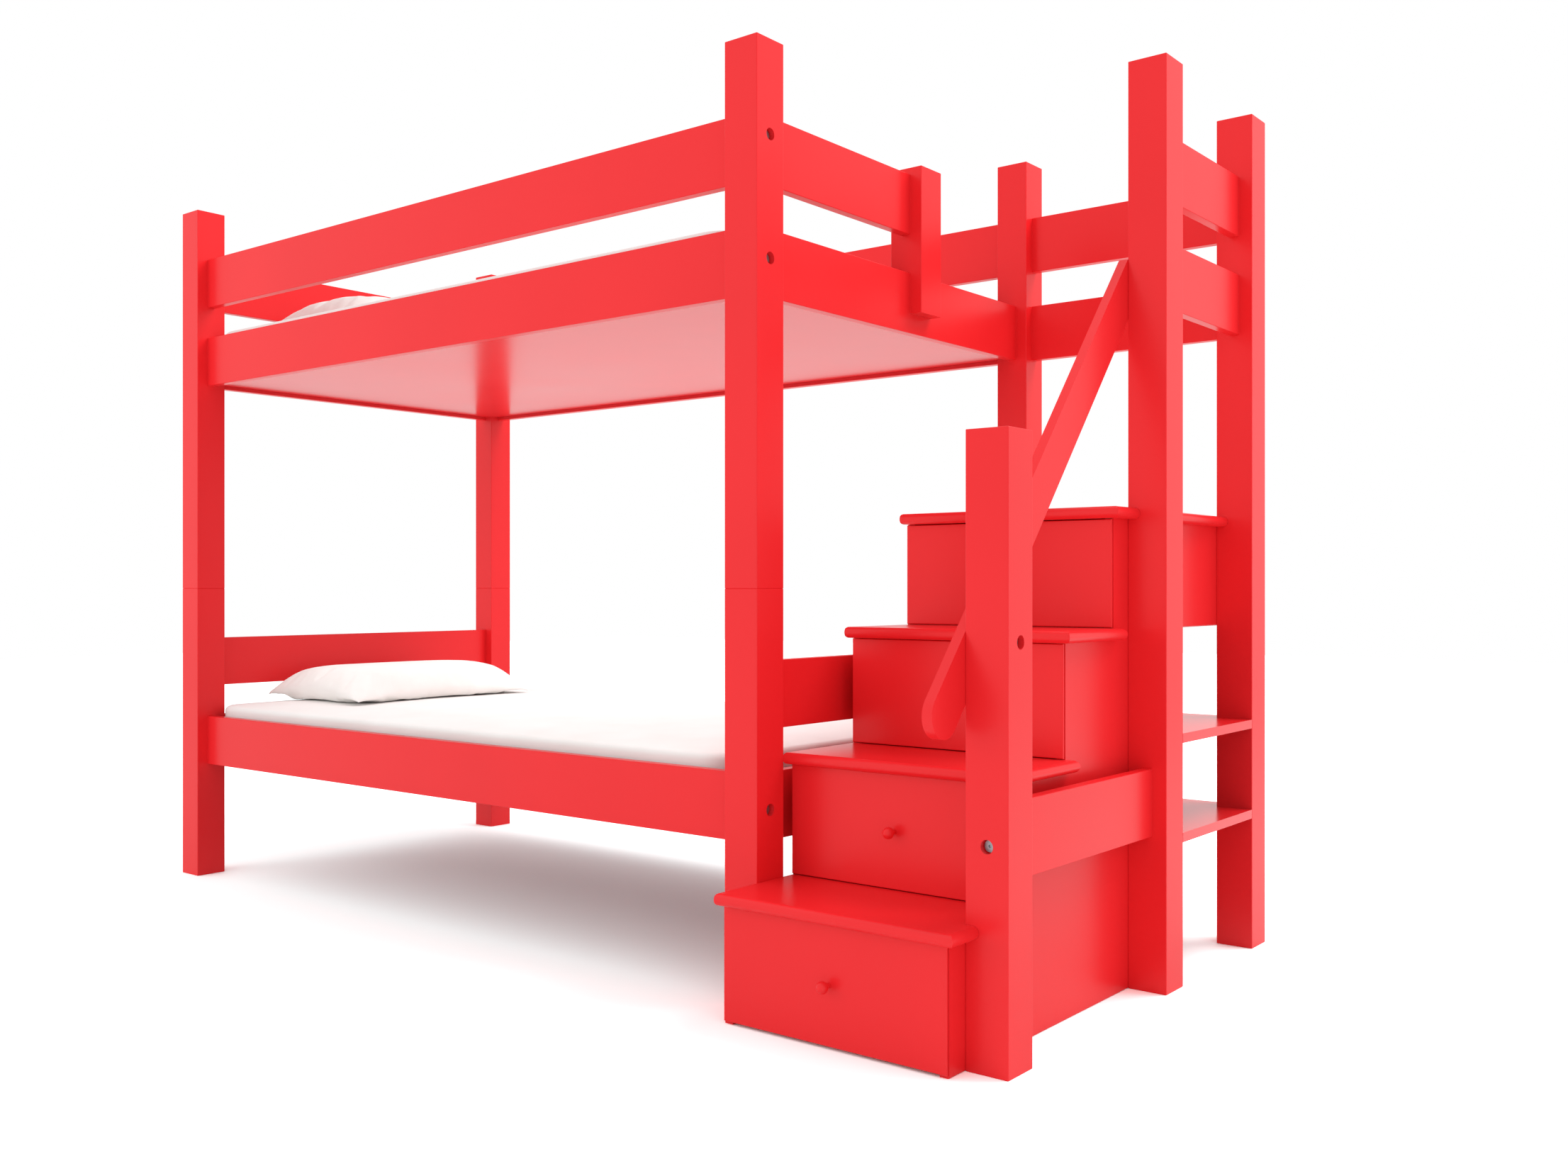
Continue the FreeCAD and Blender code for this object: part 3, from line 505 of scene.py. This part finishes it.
def pillow_form(low, high, mattress_top):
    """Two sheets over u across the pillow and v along it, both from -1 to 1, joined at the seam. The
    seam draws in and rises between the blunt corners. With (1 - u^2)(1 - v^2) as the distance inside,
    the upper sheet rises by its fourth root, less near the corners, and the lower one drops by its
    square root until it lies just over the mattress."""
    u, v = np.linspace(-1.0, 1.0, pillow_points[0]), np.linspace(1.0, -1.0, pillow_points[1])
    v, u = np.meshgrid(v, u, indexing="ij")
    half_x, half_y = (high.x - low.x) / 2.0, (high.y - low.y) / 2.0
    blunt = corner_pull * np.abs(u * v) ** corner_power
    x = u * (half_x - seam_draw * seam_line(v) - blunt) + (low.x + high.x) / 2.0
    y = v * (half_y - seam_draw * seam_line(u) - blunt) + (low.y + high.y) / 2.0
    end, side = np.abs(v) ** seam_fade_power, np.abs(u) ** seam_fade_power
    arch = (end * seam_high_front * seam_line(u) + side * seam_high_foot * seam_line(v)
            + (1.0 - end) * (1.0 - side) * seam_high_foot)
    middle = mattress_top + seam_low + arch
    inside = np.maximum((1.0 - u ** 2) * (1.0 - v ** 2), 0.0)
    rise = pillow_start_rise * inside ** rise_power
    rise *= np.minimum(1.0, inside / corner_flatness) ** fade_power
    drop = (middle - mattress_top - rest_gap) * np.minimum(1.0, inside / under_reach) ** fade_power
    upper = np.stack([x, y, middle + rise], -1)
    lower = np.stack([x, y, middle - drop], -1)
    return np.concatenate([upper, lower[:, -2:0:-1]], 1)


def vertex_array(mesh):
    """The mesh's points as an array of xyz."""
    points = np.zeros(len(mesh.vertices) * 3)
    mesh.vertices.foreach_get("co", points)
    return points.reshape(-1, 3)


def inflate(piece, pinned, support):
    """Blow the sheets up on their support with a light pressure. The seam is held, and the cloth is cut
    a little too large for it. Each point keeps where it comes to, up to the cap."""
    start = vertex_array(piece.data)
    group = piece.vertex_groups.new(name="seam")
    group.add([int(index) for index in pinned], 1.0, "REPLACE")
    support.modifiers.new("rest", "COLLISION")
    support.collision.thickness_outer = contact_gap
    cloth = piece.modifiers.new("cloth", "CLOTH")
    settings = cloth.settings
    for name, stiffness in case_stiffness.items():
        setattr(settings, name, stiffness)
    settings.quality = solver_steps
    settings.mass = case_mass
    settings.shrink_min = -case_slack
    settings.use_pressure = True
    settings.uniform_pressure_force = case_pressure
    settings.vertex_group_mass = group.name
    settings.effector_weights.gravity = 0.0
    cloth.collision_settings.distance_min = contact_gap
    cloth.point_cache.frame_start = 1
    cloth.point_cache.frame_end = solver_frames
    scene = bpy.context.scene
    for frame_number in range(1, solver_frames + 1):
        scene.frame_set(frame_number)
    solved = piece.evaluated_get(bpy.context.evaluated_depsgraph_get())
    moved = vertex_array(solved.data) - start
    length = np.linalg.norm(moved, axis=1, keepdims=True)
    moved *= pillow_move_cap / np.maximum(length, pillow_move_cap)
    piece.modifiers.clear()
    support.modifiers.clear()
    scene.frame_set(1)
    piece.vertex_groups.clear()
    piece.data.vertices.foreach_set("co", (start + moved).reshape(-1))
    piece.data.update()


def cover_top(low, high, x, y):
    """The height of a mattress's top at x and y, from the distance in from its nearest side."""
    inset = np.minimum(np.minimum(x - low.x, high.x - x), np.minimum(y - low.y, high.y - y))
    return high.z - mattress_crown - cover_ripple + crown_height(inset)


def settle(points, low, high, mattress_low, mattress_high):
    """Bring the blown form to the pillow's own length, width and height over the mattress, and lift
    what would sink into the cover. A height over the cover, as a share h of the highest, becomes
    h + crest_flatness h^2 (1 - h), which fills the pillow out beside its crest."""
    form_low, form_high = points.min(0), points.max(0)
    share = (points - form_low) / (form_high - form_low)
    x = low.x + share[:, 0] * (high.x - low.x)
    y = low.y + share[:, 1] * (high.y - low.y)
    cover = cover_top(mattress_low, mattress_high, x, y)
    over = points[:, 2] - cover
    full = np.maximum(over, 0.0) / over.max()
    full = full + crest_flatness * full ** 2 * (1.0 - full)
    over = np.maximum(full * (high.z - mattress_high.z), rest_gap)
    return np.stack([x, y, cover + over], -1)


# Both pillows are alike, so the form is blown up once, on the lower mattress. The points along the seam
# are looked for again once the sheets are joined.
low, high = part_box("lower_pillow")
mattress_low, mattress_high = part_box("lower_mattress")
grid = pillow_form(low, high, mattress_high.z)
case = closed_surface("pillow_case_form", grid)
sewn = np.concatenate([grid[0, :pillow_points[0]], grid[1:, pillow_points[0] - 1],
                       grid[-1, pillow_points[0] - 2::-1], grid[-2:0:-1, 0]])
at_rest = vertex_array(case.data)
seam = np.array([np.square(at_rest - place).sum(1).argmin() for place in sewn])
inflate(case, seam, mattresses["lower"])
shaped = settle(vertex_array(case.data), low, high, mattress_low, mattress_high)
bpy.data.objects.remove(case)
percale = matt_cloth("cotton_percale_case", cotton_white, cotton_shade, thread_pitch, thread_height,
                     percale_roughness, percale_sheen)
pillows = []
for level in ("lower", "upper"):
    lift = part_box(level + "_pillow")[0].z - low.z
    piece = closed_surface(level + "_pillow_case", grid)
    piece.data.vertices.foreach_set("co", (shaped + (0.0, 0.0, lift)).reshape(-1))
    piece.data.materials.append(percale)
    map_by_facing(piece)
    smooth = piece.modifiers.new("smooth", "SUBSURF")
    smooth.levels = smooth.render_levels = 1
    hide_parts(level + "_pillow")
    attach(piece, "frame")
    pillows.append(piece)


# ---- Floor and light -----------------------------------------------------------------------------
# A white studio: an even dome over a white floor, a broad soft lamp high up behind the stairs, a weaker
# one in front of the bed, and a fill over the bedding alone. The open floor meets the dome in the same
# white, and keeps the bed's soft grey shadow.

floor_half = 14.0
floor_lit = (0.9, 0.9, 0.9, 1.0)
# Red is raised less than green and blue, which greys the red light that the bed throws into its shadow on
# the floor.
floor_seen = (1.56, 1.68, 1.68, 1.0)  # over one, so the open floor reaches the dome's white
floor_mirrored = (1.0, 1.0, 1.0, 1.0)
dome_white = (1.0, 1.0, 1.0, 1.0)
dome_lit = 0.88
dome_seen = 1.0
back_lamp_place = (2.6, 1.9, 4.6)
back_lamp_size = (2.6, 2.6)
back_lamp_watts = 115.0
front_lamp_place = (-2.2, -4.5, 2.0)
front_lamp_size = (3.0, 3.0)
front_lamp_watts = 34.0
lamp_aim = (0.2, 0.0, 0.8)
fill_lamp_place = (-0.3, 0.07, 1.3)
fill_lamp_size = (1.8, 0.85)
fill_lamp_watts = 9.0


def soft_lamp(name, place, size, watts):
    """A broad lamp that points down, and shows neither to the camera nor in a gloss."""
    lamp_data = bpy.data.lights.new(name, "AREA")
    lamp_data.shape = "RECTANGLE"
    lamp_data.size, lamp_data.size_y = size
    lamp_data.energy = watts
    lamp = bpy.data.objects.new(name, lamp_data)
    lamp.location = place
    lamp.visible_camera = lamp.visible_glossy = False
    bpy.context.scene.collection.objects.link(lamp)
    return lamp


floor_mesh = bpy.data.meshes.new("floor")
floor_mesh.from_pydata([(-floor_half, -floor_half, 0), (floor_half, -floor_half, 0),
                        (floor_half, floor_half, 0), (-floor_half, floor_half, 0)], [], [(0, 1, 2, 3)])
floor = bpy.data.objects.new("floor", floor_mesh)
bpy.context.scene.collection.objects.link(floor)
floor_material, tree = new_material("floor_white")
rays = add_node(tree, "ShaderNodeLightPath")
mirrored = add_node(tree, "ShaderNodeMath", {"operation": "MAXIMUM"},
                    _0=rays.outputs["Is Glossy Ray"], _1=rays.outputs["Is Transmission Ray"])
whites = [add_node(tree, "ShaderNodeBsdfDiffuse", {"Color": colour}).outputs["BSDF"]
          for colour in (floor_lit, floor_mirrored, floor_seen)]
shader = add_node(tree, "ShaderNodeMixShader", _0=mirrored.outputs[0], _1=whites[0], _2=whites[1])
shader = add_node(tree, "ShaderNodeMixShader", _0=rays.outputs["Is Camera Ray"],
                  _1=shader.outputs[0], _2=whites[2])
add_node(tree, "ShaderNodeOutputMaterial", Surface=shader.outputs[0])
floor.data.materials.append(floor_material)

world = bpy.data.worlds.new("studio")
world.use_nodes = True
bpy.context.scene.world = world
tree = world.node_tree
tree.nodes.clear()
rays = add_node(tree, "ShaderNodeLightPath")
mirrored = add_node(tree, "ShaderNodeMath", {"operation": "MAXIMUM"},
                    _0=rays.outputs["Is Glossy Ray"], _1=rays.outputs["Is Transmission Ray"])
seen = add_node(tree, "ShaderNodeMath", {"operation": "MAXIMUM"},
                _0=rays.outputs["Is Camera Ray"], _1=mirrored.outputs[0])
strength = add_node(tree, "ShaderNodeMapRange", {"To Min": dome_lit, "To Max": dome_seen},
                    Value=seen.outputs[0])
background = add_node(tree, "ShaderNodeBackground", {"Color": dome_white},
                      Strength=strength.outputs["Result"])
add_node(tree, "ShaderNodeOutputWorld", Surface=background.outputs["Background"])

for lamp in (soft_lamp("back_softbox", back_lamp_place, back_lamp_size, back_lamp_watts),
             soft_lamp("front_softbox", front_lamp_place, front_lamp_size, front_lamp_watts)):
    lamp.rotation_euler = (Vector(lamp_aim) - lamp.location).to_track_quat("-Z", "Y").to_euler()

bedding = bpy.data.collections.new("bedding")
for piece in list(mattresses.values()) + pillows:
    bedding.objects.link(piece)
lamp = soft_lamp("bedding_fill", fill_lamp_place, fill_lamp_size, fill_lamp_watts)
lamp.light_linking.receiver_collection = bedding
